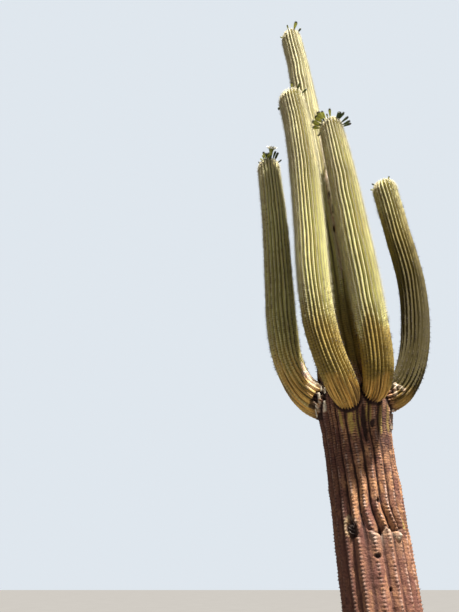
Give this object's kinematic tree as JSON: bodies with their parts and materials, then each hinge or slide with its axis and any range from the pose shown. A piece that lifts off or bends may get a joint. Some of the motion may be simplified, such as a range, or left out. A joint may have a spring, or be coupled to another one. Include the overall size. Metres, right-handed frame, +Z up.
{
  "type": "saguaro cactus",
  "caption": "Tall leaning saguaro cactus: a fluted trunk with a flared foot, upturned fluted arms and rings of flower buds on its tips, rooted at ground level.",
  "frame": {"origin": "centre of the trunk's flat cut at ground level", "axes": "+Z up along the trunk; +X to the right and +Y away from the viewer of the picture"},
  "size_m": [1.6088, 1.0011, 8.936],
  "materials": {
    "bark": "rough corky brown skin with deep grooves below the fork, passing into ribbed green skin above it",
    "skin": "waxy yellow-green ribs with darker valleys, matt",
    "spines": "dry pale grey and straw spines, matt",
    "buds": "smooth scaly dark green buds with brown tips",
    "petals": "waxy white petals with a pale yellow centre"
  },
  "bodies": {
    "root": {"trunk": "bark", "arm_front_left_elbow": "skin", "arm_front_left_column": "skin", "arm_front_right_elbow": "skin", "arm_front_right_column": "skin", "arm_left_elbow": "skin", "arm_left_column": "skin", "arm_right_elbow": "skin", "arm_right_column": "skin"}
  },
  "joints": []
}
